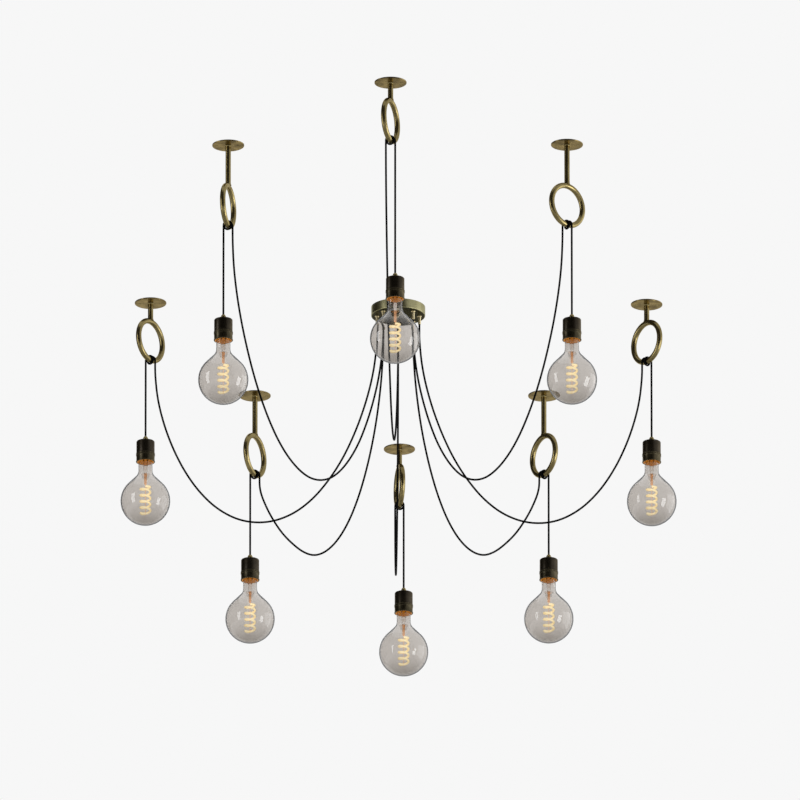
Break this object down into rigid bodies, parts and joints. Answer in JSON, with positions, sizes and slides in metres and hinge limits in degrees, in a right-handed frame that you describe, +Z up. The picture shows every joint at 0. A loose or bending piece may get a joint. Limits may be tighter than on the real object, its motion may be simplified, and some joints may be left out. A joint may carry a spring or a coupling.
{
  "type": "spider chandelier",
  "caption": "Spider chandelier in aged brass: black cords swag from a ceiling canopy to ring hooks and drop to globe bulbs in dark bronze lampholders.",
  "frame": {"origin": "centre of the canopy on the ceiling plane", "axes": "+Z up, -Y towards the viewer in the picture, +X to the viewer's right; the layout is longest along Y"},
  "size_m": [1.4006, 2.7885, 0.7395],
  "materials": {
    "olive_brass": "aged, satin",
    "bright_brass": "satin",
    "dark_bronze": "patinated, satin",
    "zinc_steel": "zinc plated",
    "porcelain": "glazed",
    "black_cord": "matt",
    "smoked_glass": "clear, lightly smoked"
  },
  "bodies": {
    "fixed_frame": {"canopy": "olive_brass", "mounting_plate": "zinc_steel", "canopy_side_screws": "olive_brass", "cord_glands": "bright_brass", "gland_nuts": "zinc_steel", "terminal_block": "porcelain", "cord_tails": "black_cord", "ceiling_plates": "olive_brass", "short_ring_hooks": "olive_brass", "long_ring_hooks": "olive_brass", "swag_cord_1": "black_cord", "swag_cord_2": "black_cord", "swag_cord_3": "black_cord", "swag_cord_4": "black_cord", "swag_cord_5": "black_cord", "swag_cord_6": "black_cord", "swag_cord_7": "black_cord", "swag_cord_8": "black_cord"},
    "pendant_1": {"drop_cord_1": "black_cord", "lampholder_shell_1": "dark_bronze", "lampholder_core_1": "porcelain"},
    "bulb_1": {"bulb_glass_1": "smoked_glass", "bulb_core_1": "bright_brass"},
    "pendant_2": {"drop_cord_2": "black_cord", "lampholder_shell_2": "dark_bronze", "lampholder_core_2": "porcelain"},
    "bulb_2": {"bulb_glass_2": "smoked_glass", "bulb_core_2": "bright_brass"},
    "pendant_3": {"drop_cord_3": "black_cord", "lampholder_shell_3": "dark_bronze", "lampholder_core_3": "porcelain"},
    "bulb_3": {"bulb_glass_3": "smoked_glass", "bulb_core_3": "bright_brass"},
    "pendant_4": {"drop_cord_4": "black_cord", "lampholder_shell_4": "dark_bronze", "lampholder_core_4": "porcelain"},
    "bulb_4": {"bulb_glass_4": "smoked_glass", "bulb_core_4": "bright_brass"},
    "pendant_5": {"drop_cord_5": "black_cord", "lampholder_shell_5": "dark_bronze", "lampholder_core_5": "porcelain"},
    "bulb_5": {"bulb_glass_5": "smoked_glass", "bulb_core_5": "bright_brass"},
    "pendant_6": {"drop_cord_6": "black_cord", "lampholder_shell_6": "dark_bronze", "lampholder_core_6": "porcelain"},
    "bulb_6": {"bulb_glass_6": "smoked_glass", "bulb_core_6": "bright_brass"},
    "pendant_7": {"drop_cord_7": "black_cord", "lampholder_shell_7": "dark_bronze", "lampholder_core_7": "porcelain"},
    "bulb_7": {"bulb_glass_7": "smoked_glass", "bulb_core_7": "bright_brass"},
    "pendant_8": {"drop_cord_8": "black_cord", "lampholder_shell_8": "dark_bronze", "lampholder_core_8": "porcelain"},
    "bulb_8": {"bulb_glass_8": "smoked_glass", "bulb_core_8": "bright_brass"}
  },
  "joints": [
    {"name": "swing_1", "type": "hinge", "parent": "fixed_frame", "child": "pendant_1", "pos_m": [-0.00746, -1.6212, -0.1685], "axis": [0.3256, 0.9455, 0], "range_deg": [-30, 8]},
    {"name": "bulb_turn_1", "type": "hinge", "parent": "pendant_1", "child": "bulb_1", "pos_m": [-0.00746, -1.6212, -0.517], "axis": [0, 0, -1], "range_deg": [0, 900]},
    {"name": "swing_2", "type": "hinge", "parent": "fixed_frame", "child": "pendant_2", "pos_m": [0.43245, -1.18515, -0.2285], "axis": [0.7431, 0.6691, 0], "range_deg": [-30, 10]},
    {"name": "bulb_turn_2", "type": "hinge", "parent": "pendant_2", "child": "bulb_2", "pos_m": [0.43245, -1.18515, -0.466], "axis": [0, 0, -1], "range_deg": [0, 900]},
    {"name": "swing_3", "type": "hinge", "parent": "fixed_frame", "child": "pendant_3", "pos_m": [0.6388, -0.02268, -0.1685], "axis": [0.6293, -0.7771, 0], "range_deg": [-20, 30]},
    {"name": "bulb_turn_3", "type": "hinge", "parent": "pendant_3", "child": "bulb_3", "pos_m": [0.6388, -0.02268, -0.369], "axis": [0, 0, -1], "range_deg": [0, 900]},
    {"name": "swing_4", "type": "hinge", "parent": "fixed_frame", "child": "pendant_4", "pos_m": [0.38187, 0.64929, -0.2285], "axis": [0.5592, -0.829, 0], "range_deg": [-15, 30]},
    {"name": "bulb_turn_4", "type": "hinge", "parent": "pendant_4", "child": "bulb_4", "pos_m": [0.38187, 0.64929, -0.443], "axis": [0, 0, -1], "range_deg": [0, 900]},
    {"name": "swing_5", "type": "hinge", "parent": "fixed_frame", "child": "pendant_5", "pos_m": [0.01388, 1.04224, -0.1685], "axis": [0.1564, -0.9877, 0], "range_deg": [-5, 30]},
    {"name": "bulb_turn_5", "type": "hinge", "parent": "pendant_5", "child": "bulb_5", "pos_m": [0.01388, 1.04224, -0.392], "axis": [0, 0, -1], "range_deg": [0, 900]},
    {"name": "swing_6", "type": "hinge", "parent": "fixed_frame", "child": "pendant_6", "pos_m": [-0.37579, 0.64763, -0.2285], "axis": [-0.4384, -0.8988, 0], "range_deg": [-30, 15]},
    {"name": "bulb_turn_6", "type": "hinge", "parent": "pendant_6", "child": "bulb_6", "pos_m": [-0.37579, 0.64763, -0.444], "axis": [0, 0, -1], "range_deg": [0, 900]},
    {"name": "swing_7", "type": "hinge", "parent": "fixed_frame", "child": "pendant_7", "pos_m": [-0.63686, -0.03451, -0.1685], "axis": [-0.5736, -0.8192, 0], "range_deg": [-30, 20]},
    {"name": "bulb_turn_7", "type": "hinge", "parent": "pendant_7", "child": "bulb_7", "pos_m": [-0.63686, -0.03451, -0.372], "axis": [0, 0, -1], "range_deg": [0, 900]},
    {"name": "swing_8", "type": "hinge", "parent": "fixed_frame", "child": "pendant_8", "pos_m": [-0.43532, -1.18059, -0.2285], "axis": [-0.2588, -0.9659, 0], "range_deg": [-30, 20]},
    {"name": "bulb_turn_8", "type": "hinge", "parent": "pendant_8", "child": "bulb_8", "pos_m": [-0.43532, -1.18059, -0.465], "axis": [0, 0, -1], "range_deg": [0, 900]}
  ]
}
